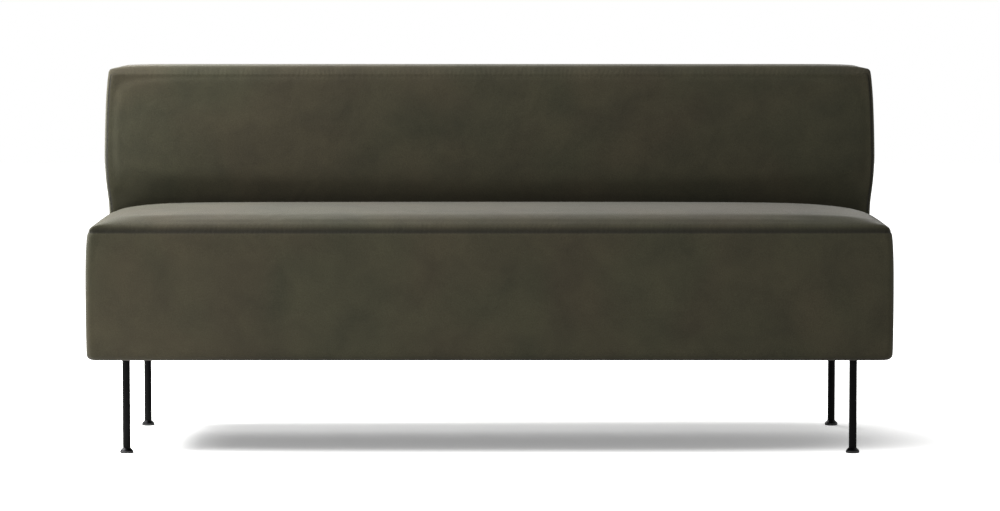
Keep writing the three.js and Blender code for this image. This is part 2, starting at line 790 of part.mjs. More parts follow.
// A levelling foot: a threaded screw with a cone that is turned by hand, on a pad that stays put
// on the floor.
function buildFoot({ place, x, y }) {
  const foot = new THREE.Group();
  foot.position.set(x, y, 0);
  const threadTopZ = hubTopZ + footThreadLength;
  const screw = turned(
    [
      [0, hubBottomZ - pinLength],
      [pinRadius, hubBottomZ - pinLength],
      [pinRadius, hubBottomZ],
      [hubRadius, hubBottomZ],
      [hubRadius, hubBottomZ + hubRimHeight],
      [legRadius, hubTopZ],
      [footThreadRadius, hubTopZ],
      [footThreadRadius, threadTopZ - footThreadChamfer],
      [footThreadRadius - footThreadChamfer, threadTopZ],
      [0, threadTopZ],
    ],
    0,
    0,
    roundSides,
  );
  add(`foot_screw_${place}`, screw, materials.blackSteel, foot);

  const socketRadius = pinRadius + fit;
  const socketZ = hubBottomZ - pinLength - fit;
  const pad = turned(
    [
      [0, 0],
      [padRadius - padToeRound, 0],
      [padRadius, padToeRound],
      [padRadius, padThickness - padTopRound],
      [padRadius - padTopRound, padThickness],
      [socketRadius, padThickness],
      [socketRadius, socketZ],
      [0, socketZ],
    ],
    0,
    0,
    roundSides,
  );
  add(`foot_pad_${place}`, pad, materials.nylon, foot);
  sofa.add(foot);
}

buildSeatFrame();
buildWebbing();
buildSeatFilling();
buildSeatCover();
buildUndersideCloth();
buildBackFrame();
buildBackUpholstery();
buildCoachScrews();
corners.forEach(buildLeg);
corners.forEach(buildFoot);

export default sofa;
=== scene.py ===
# %% [markdown]
# # Dressing a dining sofa
# The solid model already holds every rail, screw, web and block of foam of this sofa in its place.
# This lesson gives it the looks: the two velvet covers, the cloth below, the painted legs with
# their levelling feet, and a studio to see them in. Blender reads the solids as a fixed frame, in
# metres, so a new piece goes where the solid one is, with no fitting.

import bmesh
import bpy
import numpy as np
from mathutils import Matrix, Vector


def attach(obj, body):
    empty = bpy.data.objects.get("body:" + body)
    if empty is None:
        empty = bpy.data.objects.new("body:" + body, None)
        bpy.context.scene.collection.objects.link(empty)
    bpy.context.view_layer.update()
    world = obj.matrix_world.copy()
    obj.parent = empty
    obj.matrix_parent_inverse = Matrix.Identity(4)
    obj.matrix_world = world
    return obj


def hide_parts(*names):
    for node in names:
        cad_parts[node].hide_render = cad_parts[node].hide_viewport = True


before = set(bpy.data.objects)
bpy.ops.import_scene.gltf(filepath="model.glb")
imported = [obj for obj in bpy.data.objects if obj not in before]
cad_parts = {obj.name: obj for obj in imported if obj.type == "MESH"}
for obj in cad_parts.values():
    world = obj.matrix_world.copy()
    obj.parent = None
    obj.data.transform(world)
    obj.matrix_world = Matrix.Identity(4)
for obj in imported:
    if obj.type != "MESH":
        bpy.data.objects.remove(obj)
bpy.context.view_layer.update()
scene = bpy.context.scene

# %% [markdown]
# ## The camera
# The photograph was taken with a long lens from almost eight metres, a little above the seat and
# looking slightly down. The place comes from the feet, whose front and rear pairs stand at known
# places on the floor: their spacing in the picture fixes the distance, and their height the tilt.

# %% Camera
camera = bpy.data.objects.new("camera", bpy.data.cameras.new("camera"))
camera.data.sensor_width = 36
camera.data.lens = 132.38
camera.data.clip_end = 200
camera.location = (0, -7.7839, 0.9655)
camera.rotation_euler = (np.pi / 2 - 0.0737, 0, -0.0028)
scene.collection.objects.link(camera)
scene.camera = camera
scene.view_settings.view_transform = "Standard"
print("camera at", tuple(camera.location), "with a", camera.data.lens, "mm lens")

# %% [markdown]
# ## Colours and nodes
# Colours are picked on a screen as hex values, in which equal steps look equal. The renderer adds
# light, so it needs linear values, and one function turns the first into the second. Each of the
# others adds one kind of shader node and links it, so that a finish below reads as a list.


# %% Helpers for colours and nodes
def linear(hex_colour):
    """An sRGB hex colour as linear red, green, blue and alpha.

    Below 0.04045 a channel is divided by 12.92, and above it (c + 0.055) / 1.055 is raised to 2.4.
    """
    channels = np.array([int(hex_colour[i : i + 2], 16) for i in (1, 3, 5)]) / 255
    low, high = channels / 12.92, ((channels + 0.055) / 1.055) ** 2.4
    return (*np.where(channels <= 0.04045, low, high).tolist(), 1.0)


def put(tree, kind, inputs=None, **settings):
    """Add a shader node of a kind, set its properties, and give each input a value or a link."""
    made = tree.nodes.new("ShaderNode" + kind)
    for name, value in settings.items():
        setattr(made, name, value)
    for name, value in (inputs or {}).items():
        if isinstance(value, bpy.types.NodeSocket):
            tree.links.new(value, made.inputs[name])
        else:
            made.inputs[name].default_value = value
    return made


def compute(tree, operation, *values, clamp=False):
    """The result of a math node on numbers or sockets."""
    made = put(tree, "Math", dict(enumerate(values)), operation=operation, use_clamp=clamp)
    return made.outputs[0]


def rescale(tree, value, source, target, curve="LINEAR"):
    """A value carried from one span to another, straight or along a smooth curve."""
    spans = {"From Min": source[0], "From Max": source[1], "To Min": target[0], "To Max": target[1]}
    made = put(tree, "MapRange", {"Value": value, **spans}, interpolation_type=curve)
    return made.outputs["Result"]


def object_place(tree):
    """The place on an object, in metres from its origin."""
    return put(tree, "TexCoord").outputs["Object"]


def noise(tree, place, scale, detail, roughness=0.5, distortion=0.0):
    """A soft noise from 0 to 1 at a place, with about as many waves to a metre as the scale."""
    inputs = {"Vector": place, "Scale": scale, "Detail": detail, "Roughness": roughness}
    return put(tree, "TexNoise", {**inputs, "Distortion": distortion}).outputs["Fac"]


def ramp(tree, value, low, high, start=0.0, end=1.0):
    """One hex colour up to a start, another one from an end, and a blend between them."""
    made = put(tree, "ValToRGB", {"Fac": value})
    for element, position, colour in zip(made.color_ramp.elements, (start, end), (low, high)):
        element.position, element.color = position, linear(colour)
    return made.outputs["Color"]


def blend(tree, share, first, second, way="MIX"):
    """Two colours blended by a share."""
    inputs = {0: share, 6: first, 7: second}
    return put(tree, "Mix", inputs, data_type="RGBA", blend_type=way).outputs[2]


def bump(tree, height, strength, distance, below=None):
    """A normal turned by a height of so many metres, on top of another normal if one is given."""
    inputs = {"Height": height, "Strength": strength, "Distance": distance}
    if below is not None:
        inputs["Normal"] = below
    return put(tree, "Bump", inputs).outputs["Normal"]


def new_material(name):
    """An empty node material, and its node tree."""
    material = bpy.data.materials.new(name)
    material.use_nodes = True
    material.node_tree.nodes.clear()
    return material, material.node_tree


def finish_with(tree, shader, kind="OutputMaterial"):
    """Link a shader's output to the surface of the material or the world."""
    tree.links.new(shader, put(tree, kind).inputs["Surface"])


def dress(piece, material):
    """Put one material on a new piece."""
    piece.data.materials.clear()
    piece.data.materials.append(material)


# %% [markdown]
# ## The studio
# The picture has a white room with no corner in it, and a soft shadow that runs to the right. A
# soft lamp high on the left and in front gives that shadow and the fall of light from left to
# right. A second one hangs lower, over the left end, and lights the top of the seat. A third stands
# behind and lights the roll along the backrest's top. The world is dim, so that the shaded side
# stays dark, but it shows as plain white to the camera and in reflections.

# %% World and lamps
world = bpy.data.worlds.new("white studio")
scene.world = world
world.use_nodes = True
tree = world.node_tree
tree.nodes.clear()
path = put(tree, "LightPath")
seen = compute(tree, "MAXIMUM", path.outputs["Is Camera Ray"], path.outputs["Is Glossy Ray"])
seen = compute(tree, "MAXIMUM", seen, path.outputs["Is Transmission Ray"])
room_light = 0.5
strength = rescale(tree, seen, (0.0, 1.0), (room_light, 1.0))
backdrop = put(tree, "Background", {"Color": (1, 1, 1, 1), "Strength": strength})
finish_with(tree, backdrop.outputs[0], "OutputWorld")


def soft_lamp(name, place, aim, width, height, watts):
    """A rectangular soft lamp at a place, turned to a point, with its size in metres."""
    lamp = bpy.data.objects.new(name, bpy.data.lights.new(name, "AREA"))
    lamp.data.shape = "RECTANGLE"
    lamp.data.size, lamp.data.size_y = width, height
    lamp.data.energy = watts
    lamp.location = place
    aim_along = Vector(aim) - Vector(place)
    lamp.rotation_euler = aim_along.to_track_quat("-Z", "Y").to_euler()
    scene.collection.objects.link(lamp)


soft_lamp("key lamp", (-2.64, -1.31, 2.24), (0, 0, 0.4), 1.1, 1.1, 96)
soft_lamp("overhead lamp", (-1.7, 0.25, 1.6), (-0.4, 0, 0.3), 1.0, 0.8, 84)
soft_lamp("rear lamp", (-1.2, 2.6, 2.2), (-0.4, 0, 0.2), 2.0, 1.0, 55)

# %% Floor
floor_mesh = bpy.data.meshes.new("studio_floor")
floor_half = 12.0
floor_corners = np.array([[-1, -1, 0], [1, -1, 0], [1, 1, 0], [-1, 1, 0]]) * floor_half
floor_mesh.from_pydata(floor_corners.tolist(), [], [(0, 1, 2, 3)])
floor = bpy.data.objects.new("studio_floor", floor_mesh)
scene.collection.objects.link(floor)

floor_paint, tree = new_material("matt white studio floor")
# Painted light: the floor glows to the camera alone, at 0.24 inside an ellipse round the sofa and
# rising to 1 beyond it, so the real shadow shows only in the ellipse and is painted white
# elsewhere.
middle_x, middle_y, spread_x, spread_y = 0.04, 0.06, 0.76, 0.26
ellipse = put(
    tree,
    "Mapping",
    {
        "Vector": object_place(tree),
        "Location": (-middle_x / spread_x, -middle_y / spread_y, 0),
        "Scale": (1 / spread_x, 1 / spread_y, 1),
    },
).outputs[0]
squares = put(tree, "VectorMath", {0: ellipse, 1: ellipse}, operation="MULTIPLY").outputs[0]
distance = put(tree, "VectorMath", {0: squares}, operation="LENGTH").outputs["Value"]
painted_glow = rescale(tree, distance, (0.7, 2.0), (0.24, 1.0), "SMOOTHSTEP")
painted_glow_to_camera = compute(tree, "MULTIPLY", painted_glow, put(tree, "LightPath").outputs["Is Camera Ray"])
matt = put(tree, "BsdfDiffuse", {"Color": linear("#f3f3f2")})
glow = put(tree, "Emission", {"Color": (1, 1, 1, 1), "Strength": painted_glow_to_camera})
both = put(tree, "AddShader", {0: matt.outputs[0], 1: glow.outputs[0]})
from_below = put(tree, "NewGeometry").outputs["Backfacing"]
clear = put(tree, "BsdfTransparent")
one_sided = put(tree, "MixShader", {0: from_below, 1: both.outputs[0], 2: clear.outputs[0]})
finish_with(tree, one_sided.outputs[0])
dress(floor, floor_paint)
print("studio floor", 2 * floor_half, "m across")

# %% [markdown]
# ## Surfaces from numbers
# Each new piece is a surface worked out on a grid: the points are computed as whole arrays, and
# the grid's squares become the faces. The lines of a grid stand close together where a seam or a
# corner needs them, and far apart where the cloth is plain. Panels that share an edge are sewn
# together by merging the points that lie at the same place.


# %% Helpers for grids
def lines(places, gaps):
    """Places from the first to the last, spaced as the gaps given at each of them.

    The running sum of length divided by gap is cut into equal steps, and each step's place is read
    back from it.
    """
    fine = np.linspace(places[0], places[-1], 6000)
    middles = (fine[1:] + fine[:-1]) / 2
    run = np.concatenate([[0], np.cumsum(np.diff(fine) / np.interp(middles, places, gaps))])
    count = int(round(run[-1]))
    return np.interp(np.linspace(0, run[-1], count + 1), run, fine)


def grid_faces(rows, columns, start=0, closed=False):
    """The squares of a grid whose points run along the columns first."""
    across = columns if closed else columns - 1
    row, column = np.meshgrid(np.arange(rows - 1), np.arange(across), indexing="ij")
    following = (column + 1) % columns
    corners = [
        row * columns + column,
        row * columns + following,
        (row + 1) * columns + following,
        (row + 1) * columns + column,
    ]
    return start + np.stack(corners, axis=-1).reshape(-1, 4)


def edge_of(rows, columns):
    """The grid's outer points, once round: first row, last column, last row back, first column."""
    index = np.arange(rows * columns).reshape(rows, columns)
    return np.concatenate([index[0, :-1], index[:-1, -1], index[-1, :0:-1], index[:0:-1, 0]])


def as_points(x, y, z):
    """Coordinates, each spread over the whole grid, as one row of x, y and z for each point."""
    return np.stack(np.broadcast_arrays(x, y, z), axis=-1).reshape(-1, 3)


def new_piece(name, points, faces, smooth=True, attributes=None):
    """A mesh object from arrays, with one number at each point for each attribute."""
    mesh = bpy.data.meshes.new(name)
    mesh.from_pydata(points.tolist(), [], faces.tolist())
    for label, values in (attributes or {}).items():
        mesh.attributes.new(label, "FLOAT", "POINT").data.foreach_set("value", values)
    mesh.polygons.foreach_set("use_smooth", np.full(len(mesh.polygons), smooth))
    made = bpy.data.objects.new(name, mesh)
    scene.collection.objects.link(made)
    return made


def sew(piece):
    """Merge the points that lie within a hundredth of a millimetre, and turn faces outward."""
    work = bmesh.new()
    work.from_mesh(piece.data)
    bmesh.ops.remove_doubles(work, verts=work.verts, dist=1e-5)
    bmesh.ops.recalc_face_normals(work, faces=work.faces)
    work.to_mesh(piece.data)
    work.free()
    return piece


def points_of(mesh):
    """A mesh's points as an array."""
    found = np.empty(len(mesh.vertices) * 3)
    mesh.vertices.foreach_get("co", found)
    return found.reshape(-1, 3)


def normals_of(mesh):
    """A mesh's point normals as an array."""
    found = np.empty(len(mesh.vertices) * 3, np.float32)
    mesh.vertex_normals.foreach_get("vector", found)
    return found.reshape(-1, 3).astype(float)


def values_of(mesh, label):
    """One attribute of a mesh as an array."""
    found = np.empty(len(mesh.vertices), np.float32)
    mesh.attributes[label].data.foreach_get("value", found)
    return found.astype(float)


def move_points(mesh, points):
    """Give a mesh new points."""
    mesh.vertices.foreach_set("co", points.astype(np.float32).ravel())
    mesh.update()


def corner_parts(a, b, half_a, half_b, radius):
    """Split points of a plain rectangle into a core and a direction, to round its corners.

    The core is the point moved into the rectangle that is smaller by the radius, as a share of
    that rectangle's half sides. What is left, divided by the radius, is a point p, q of a square,
    and p * sqrt(1 - q*q/2), q * sqrt(1 - p*p/2) turns the square into a disc.
    """
    core_a = np.clip(a, radius - half_a, half_a - radius)
    core_b = np.clip(b, radius - half_b, half_b - radius)
    p, q = (a - core_a) / radius, (b - core_b) / radius
    core = core_a / (half_a - radius), core_b / (half_b - radius)
    return *core, p * np.sqrt(1 - q * q / 2), q * np.sqrt(1 - p * p / 2)


def rounded(parts, half_a, half_b, radius):
    """The points of a rectangle with rounded corners: core share times core side, plus radius."""
    core_a, core_b, out_a, out_b = parts
    return core_a * (half_a - radius) + radius * out_a, core_b * (half_b - radius) + radius * out_b


def least(*shares):
    """A soft minimum: the cube root of one over the sum of one over each share cubed."""
    return sum(np.maximum(share, 1e-6) ** -3.0 for share in shares) ** (-1 / 3)


# %% [markdown]
# ## The seat's cover
# The real cover is velvet over a thin layer of wadding, sewn from an upright band and a top panel,
# pulled over the foam and stapled under the rails. The seam round the top draws the band in, and
# the panel swells above it: steeply along the front, where the sitter's knees press on a rolled
# edge, and more gently at the ends. It could be modelled by pushing points by hand, but then no
# size could be changed later. Here both panels are functions of two parameters.

# %% Seat cover, worked out
mm = 0.001
seat_half_x, seat_half_y = 826.5 * mm, 315 * mm
seat_bottom, hem_height, seat_seam = 197.4 * mm, 201.8 * mm, 460.6 * mm
seat_draw, bottom_draw, draw_reach = 5.5 * mm, 2.5 * mm, 32 * mm
seat_corner, bottom_round = 16 * mm, 12 * mm
crevice = 120 * mm
crown = 42.2 * mm

panel_x, panel_y = seat_half_x - seat_draw, seat_half_y - seat_draw


def mirrored_lines(half, gaps):
    """Places over a whole side, with gaps given at its ends, 22 and 90 mm in, and in the middle."""
    left = lines([-half, 22 * mm - half, 90 * mm - half, 0], gaps)
    return np.concatenate([left, -left[-2::-1]])


across = mirrored_lines(panel_x, [1.6 * mm, 6 * mm, 19 * mm, 30 * mm])
deep_places = [-panel_y, 22 * mm - panel_y, 90 * mm - panel_y, 0, crevice - 25 * mm, crevice]
deep = lines(deep_places, [1.0 * mm, 5 * mm, 15 * mm, 24 * mm, 8 * mm, 2.6 * mm])
behind_places = [crevice, crevice + 30 * mm, panel_y - 22 * mm, panel_y]
deep = np.concatenate([deep, lines(behind_places, [2.4 * mm, 24 * mm, 10 * mm, 2 * mm])[1:]])
front_round, front_rise, end_round, crevice_round = 27, 75, 5, 15
steep_share = 0.74


def seat_top_height(a, b):
    """How far the top panel stands above its seam, at points of its plain rectangle.

    The height is crown * (1 - exp(-share)), where the share is the soft minimum of one from each
    edge, and lengths are in mm. In the crevice it is distance / 15. The front is a steep round,
    e = (1 - (1 - distance / 27)^2.3)^(1 / 2.3), and a slow rise, r = 1 - exp(-distance / 75). Its
    share is -log(1 - 0.74 e - 0.26 r). The ends have a step and a slow rise,
    -log(s exp(-distance / 5) + (1 - s) exp(-distance / reach)), where s and the reach change
    towards the rear.
    """
    front_distance = np.maximum(b + panel_y, 0) / mm
    steep = (1 - np.clip(1 - front_distance / front_round, 0, 1) ** 2.3) ** (1 / 2.3)
    slow = 1 - np.exp(-front_distance / front_rise)
    from_front = -np.log(1.0001 - steep_share * steep - (1 - steep_share) * slow)
    end_distance = np.maximum(panel_x - np.abs(a), 0) / mm
    rearward = np.clip((b + panel_y) / (400 * mm), 0, 1)
    left_step = 0.19 + 0.25 * rearward - 0.1 * rearward**4
    right_step = 0.23 + 0.22 * rearward - 0.17 * rearward**4
    step = np.where(a < 0, left_step, right_step)
    reach = np.where(a < 0, 58 + 8 * rearward**2, 70 + 14 * rearward**2)
    slow_end = np.exp(-end_distance / reach)
    from_end = -np.log(step * np.exp(-end_distance / end_round) + (1 - step) * slow_end)
    from_crevice = np.maximum(crevice - b, 0) / (crevice_round * mm)
    return crown * (1 - np.exp(-least(from_front, from_end, from_crevice)))


b_grid, a_grid = np.meshgrid(deep, across, indexing="ij")
parts = corner_parts(a_grid, b_grid, panel_x, panel_y, seat_corner)
top_x, top_y = rounded(parts, panel_x, panel_y, seat_corner)
seat_top = as_points(top_x, top_y, seat_seam + seat_top_height(a_grid, b_grid))
top_faces = grid_faces(len(deep), len(across))


def band_inset(z):
    """How far the band is drawn in at a height: two pulls that fade away from its edges."""
    low = bottom_draw * np.exp((seat_bottom - z) / draw_reach)
    return low + seat_draw * np.exp((z - seat_seam) / draw_reach)


turn = np.linspace(0, np.pi / 2, 6)
round_z = seat_bottom + bottom_round * (1 - np.cos(turn))
round_inset = band_inset(round_z) + bottom_round * (1 - np.sin(turn))
hem_inset = np.array([42.6, 32, 23, 19]) * mm
hem_z = hem_height - np.array([0, 0, 0.1, 1.3]) * mm
side_places = [round_z[-1], round_z[-1] + 40 * mm, seat_seam - 40 * mm, seat_seam]
side_z = lines(side_places, [6 * mm, 22 * mm, 13 * mm, 1.4 * mm])[1:]
profile_inset = np.concatenate([hem_inset, round_inset, band_inset(side_z)])
profile_z = np.concatenate([hem_z, round_z, side_z])

outer = edge_of(len(deep), len(across))
outer_parts = [part.reshape(-1)[outer] for part in parts]
ring_x, ring_y = rounded(
    [part[None, :] for part in outer_parts],
    seat_half_x - profile_inset[:, None],
    seat_half_y - profile_inset[:, None],
    seat_corner,
)
seat_band = as_points(ring_x, ring_y, profile_z[:, None])
band_faces = grid_faces(len(profile_z), len(outer), len(seat_top), closed=True)

top_narrower, seam_hold, end_hold, corner_hold, under_shade_reach = 1.5, 40 * mm, 25 * mm, 45 * mm, 6 * mm
from_ends, from_sides = panel_x - np.abs(a_grid), panel_y - np.abs(b_grid)
from_seam_top = np.minimum(from_ends, from_sides).reshape(-1) * top_narrower
from_seam_band = np.broadcast_to((seat_seam - profile_z)[:, None], ring_x.shape).reshape(-1)
seat_from_seam = np.concatenate([from_seam_top, from_seam_band])
near_end_held = 1 - np.exp(-((from_ends / end_hold) ** 2))
crown_held = (seat_top_height(a_grid, b_grid) * near_end_held).reshape(-1) / crown
band_held = np.clip((profile_z - round_z[-1]) / seam_hold, 0, 1)
band_held = band_held * np.clip((seat_seam - profile_z) / seam_hold, 0, 1)
from_corner = np.maximum(from_ends, from_sides).reshape(-1)[outer]
corner_held = 1 - np.exp(-((from_corner / corner_hold) ** 2))
seat_free = np.concatenate([crown_held, np.outer(band_held, corner_held).reshape(-1)])
# Painted shade: a share that is 1 on the hem and fades over 6 mm up the band's rounded foot. The
# velvet darkens by it, in place of the shade where the cloth turns under the rail.
under_shade_band = np.exp(-np.maximum(profile_z - seat_bottom, 0) / under_shade_reach)
under_shade_band[: len(hem_z)] = 1
seat_under_shade = np.concatenate([np.zeros(len(seat_top)), np.repeat(under_shade_band, len(outer))])


def along_seam(a, b, half_a, half_b):
    """The place along the nearest edge of a rectangle: b beside the ends, and a elsewhere."""
    return np.where(half_a - np.abs(a) < half_b - np.abs(b), b, a)


top_along = along_seam(a_grid, b_grid, panel_x, panel_y).reshape(-1)
seat_along = np.concatenate([top_along, np.tile(top_along[outer], len(profile_z))])

seat_cover = new_piece(
    "seat_velvet_cover",
    np.concatenate([seat_top, seat_band]),
    np.concatenate([top_faces, band_faces]),
    attributes={
        "from_seam": seat_from_seam,
        "free": seat_free,
        "groove": np.full(len(seat_from_seam), 2.0 * mm),
        # The share of painted shade under the band's foot.
        "painted_under_shade": seat_under_shade,
        "along_seam": seat_along,
    },
)
sew(seat_cover)
print("seat cover:", len(seat_cover.data.polygons), "faces before subdivision")

# %% [markdown]
# ## The backrest's cover
# It has a front panel, a rear panel and a strip of boxing between them that runs up the sides and
# over the top. The front leans back, and is drawn in at its foot where it meets the seat. A plain
# rectangle is warped to the outline for each depth, so that one function gives all the panels.

# %% Backrest cover, worked out
back_half, back_rise = 829 * mm, 310 * mm
back_bottom = 463.1 * mm
back_rear = 311.5 * mm
plain_x, plain_z = 825 * mm, back_rise / 2
top_corner, foot_corner = 8 * mm, 2.5 * mm

side_draw, seam_draw, end_margin = 8.5 * mm, 7 * mm, 16.5 * mm
top_swell, middle_swell, swell_reach = 11.5 * mm, 7 * mm, 25 * mm
draw_heights = [0, 0.12, 0.265, 0.4, 0.61, 0.82, 0.95, 1]
draw_amounts = [1.05, 0.88, 0.29, 0, 0.09, 0.29, 0.65, 1]
fine_height = np.linspace(-0.2, 1.2, 281)
raw = np.interp(fine_height, draw_heights, draw_amounts)
raw[fine_height > 1] = 1 + (fine_height[fine_height > 1] - 1) * 7
raw[fine_height < 0] = 1.05 - fine_height[fine_height < 0] * 1.4
smooth_draw = np.convolve(raw, np.full(19, 1 / 19), mode="same")


def back_outline(a, c, fullness, crest=0):
    """The backrest's x and z for points of its plain rectangle, at a fullness from 0 to 1.

    The half width is the full one, less the draw at that height and what the seams take in. The
    height runs from the foot to a top that rises from its ends by 7 mm * (1 - exp(-distance/25)),
    plus the height of a crest.
    """
    radius = np.where(c > plain_z, top_corner, foot_corner)
    flat = corner_parts(a, c - plain_z, plain_x, plain_z, radius)
    x, z = rounded(flat, plain_x, plain_z, radius)
    height = (z + plain_z) / back_rise
    taken_in = side_draw * np.interp(height, fine_height, smooth_draw) + seam_draw * (1 - fullness)
    x = x / plain_x * (back_half - taken_in)
    from_end = np.maximum(back_half - end_margin - np.abs(x), 0)
    swell = top_swell + middle_swell * (1 - np.exp(-from_end / swell_reach)) + crest
    top = back_rise + fullness * swell
    return x, back_bottom + height * top


front_foot, lean = 106.5 * mm, np.radians(8)
belly_heights = np.array([-20, 0, 15, 30, 37, 45, 55, 70, 85, 100, 130, 200, 260, 340]) * mm
belly_amounts = [18, 14, 9, 2, -2, -8.5, -15.5, -22, -25, -26.5, -27, -26.5, -25, -24]
belly_amounts = np.array(belly_amounts) * mm
fine_up = np.linspace(-20, 340, 361) * mm
belly = np.pad(np.interp(fine_up, belly_heights, belly_amounts), 6, "edge")
smooth_belly = np.convolve(belly, np.full(13, 1 / 13), "valid")


def back_front(z):
    """How deep the backrest's front lies at a height.

    It is a plane that leans 8 degrees from the crevice, plus a belly, which rolls under towards the
    foot and is smoothed over 13 mm.
    """
    up = z - back_bottom
    return front_foot + up * np.tan(lean) + np.interp(up, fine_up, smooth_belly)


wide = mirrored_lines(plain_x, [1.4 * mm, 5 * mm, 14 * mm, 24 * mm])
tall_places = [0, 20 * mm, 80 * mm, 200 * mm, 280 * mm, 310 * mm]
tall = lines(tall_places, [1.6 * mm, 5 * mm, 12 * mm, 16 * mm, 7 * mm, 1.2 * mm])
c_grid, a_grid = np.meshgrid(tall, wide, indexing="ij")
flat_x, flat_z = back_outline(a_grid, c_grid, 0)
edge_distance = least(0.7 * (plain_x - np.abs(a_grid)), c_grid, 4 * (back_rise - c_grid))
puff = 1 - np.exp(-edge_distance / (28 * mm))
near_top = np.exp((c_grid - back_rise) / (40 * mm))
front_puff, less_at_top, rear_puff = 4.5 * mm, 2.5 * mm, 3.5 * mm
front_y = back_front(flat_z) - (front_puff - less_at_top * near_top) * puff
rear_y = back_rear + rear_puff * puff
front_panel = as_points(flat_x, front_y, flat_z)
rear_panel = as_points(flat_x, rear_y, flat_z)

outer = edge_of(len(tall), len(wide))
depth_share = lines([0, 0.1, 0.5, 0.9, 1], [0.005, 0.016, 0.12, 0.022, 0.005])
boxing_depth, boxing_round, steepness = 205, 17, 1.9
nearest_seam = np.minimum(depth_share, 1 - depth_share)
slope_up = steepness * boxing_depth * nearest_seam / boxing_round
fullness = (np.maximum(slope_up, 1e-3) ** -4 + 1) ** -0.25
fullness[[0, -1]] = 0
front_crest, crest_fall = 2.3 * mm, 1.6
crest = front_crest * (1 - crest_fall * depth_share)
strip_x, strip_z = back_outline(
    a_grid.reshape(-1)[outer][None, :],
    c_grid.reshape(-1)[outer][None, :],
    fullness[:, None],
    crest[:, None],
)
strip_y = back_front(strip_z) + (back_rear - back_front(strip_z)) * depth_share[:, None]
boxing = as_points(strip_x, strip_y, strip_z)

strip_depth = boxing_depth * mm * nearest_seam
panel_distance = np.minimum(plain_x - np.abs(a_grid), np.minimum(back_rise - c_grid, c_grid))
back_from_seam = np.concatenate(
    [np.tile(panel_distance.reshape(-1), 2), np.repeat(strip_depth, len(outer))]
)


def back_groove(a, c):
    """How deep the seam is at a point: most at the sides, little over the top, less at the foot."""
    beside, above = np.exp(-(plain_x - np.abs(a)) / (8 * mm)), np.exp((c - back_rise) / (8 * mm))
    below = np.exp(-c / (8 * mm))
    return (3 * beside + 0.1 * above + 0.6 * below) * mm / (beside + above + below)


# The groove's depth also sets how dark the velvet's painted seam shade is.
panel_groove = back_groove(a_grid, c_grid).reshape(-1)
strip_groove = np.tile(panel_groove[outer], len(depth_share))
held_top = 1 - np.exp((c_grid - back_rise) / (22 * mm))
panel_free = np.tile((puff * held_top).reshape(-1), 2)
strip_free = np.repeat(np.clip(strip_depth / (60 * mm), 0, 1), len(outer))
strip_free = strip_free * np.clip((strip_z.reshape(-1) - back_bottom) / (60 * mm), 0, 1)

panel_along = along_seam(a_grid, c_grid - plain_z, plain_x, plain_z).reshape(-1)
strip_along = np.tile(panel_along[outer], len(depth_share))
back_along = np.concatenate([panel_along, panel_along, strip_along])

panel_count = len(front_panel)
back_cover = new_piece(
    "back_velvet_cover",
    np.concatenate([front_panel, rear_panel, boxing]),
    np.concatenate(
        [
            grid_faces(len(tall), len(wide)),
            grid_faces(len(tall), len(wide), panel_count)[:, ::-1],
            grid_faces(len(depth_share), len(outer), 2 * panel_count, closed=True),
        ]
    ),
    attributes={
        "from_seam": back_from_seam,
        "free": np.concatenate([panel_free, strip_free]),
        "groove": np.concatenate([panel_groove, panel_groove, strip_groove]),
        # No painted shade under the backrest's foot.
        "painted_under_shade": np.zeros(len(back_from_seam)),
        "along_seam": back_along,
    },
)
sew(back_cover)
print("backrest cover:", len(back_cover.data.polygons), "faces before subdivision")

# %% [markdown]
# ## Stuffing the covers
# Filled covers are tight, and swell between the seams that hold them. Blender's cloth solver does
# that: the cover starts a little too small, its seams are pinned, and pressure blows it up from
# inside for a few frames with gravity off. How far a point may go is then capped, so that the
# sofa keeps its size. The seams are sewn in afterwards, as grooves along the points next to them.


# %% Stuff, subdivide and pinch
def stuff(piece, slack, pressure=30.0, frames=14, freeing=1.6):
    """Shrink a cover by the slack where it is free, blow it up, and cap each point's movement."""
    mesh = piece.data
    free = np.clip(values_of(mesh, "free") * freeing, 0, 1)
    start = points_of(mesh) - normals_of(mesh) * (free * slack)[:, None]
    move_points(mesh, start)
    held = piece.vertex_groups.new(name="held by seams")
    for level in range(11):
        chosen = np.flatnonzero(np.round((1 - free) * 10) == level)
        held.add(chosen.tolist(), level / 10, "REPLACE")
    cloth = piece.modifiers.new("stuffing", "CLOTH")
    given = cloth.settings
    given.quality = 5
    given.mass = 0.3
    given.tension_stiffness = given.compression_stiffness = 8
    given.shear_stiffness = 4
    given.bending_stiffness = 0.5
    given.use_pressure = True
    given.uniform_pressure_force = pressure
    given.vertex_group_mass = held.name
    given.effector_weights.gravity = 0
    cloth.point_cache.frame_end = frames
    for number in range(1, frames + 1):
        scene.frame_set(number)
    blown = piece.evaluated_get(bpy.context.evaluated_depsgraph_get())
    moved = points_of(blown.data) - start
    length = np.linalg.norm(moved, axis=1, keepdims=True)
    print(piece.name, "swelled by", np.percentile(length / mm, [50, 90, 100]).round(1), "mm")
    piece.modifiers.remove(cloth)
    scene.frame_set(1)
    most = (free * slack)[:, None]
    move_points(mesh, start + moved * np.minimum(1, most / np.maximum(length, 1e-9)))


def subdivide(piece):
    """Give a piece one level of subdivision, as its own mesh."""
    step = piece.modifiers.new("smooth cloth", "SUBSURF")
    step.levels = step.render_levels = 1
    evaluated = piece.evaluated_get(bpy.context.evaluated_depsgraph_get())
    fine = bpy.data.meshes.new_from_object(evaluated)
    piece.modifiers.remove(step)
    piece.data = fine


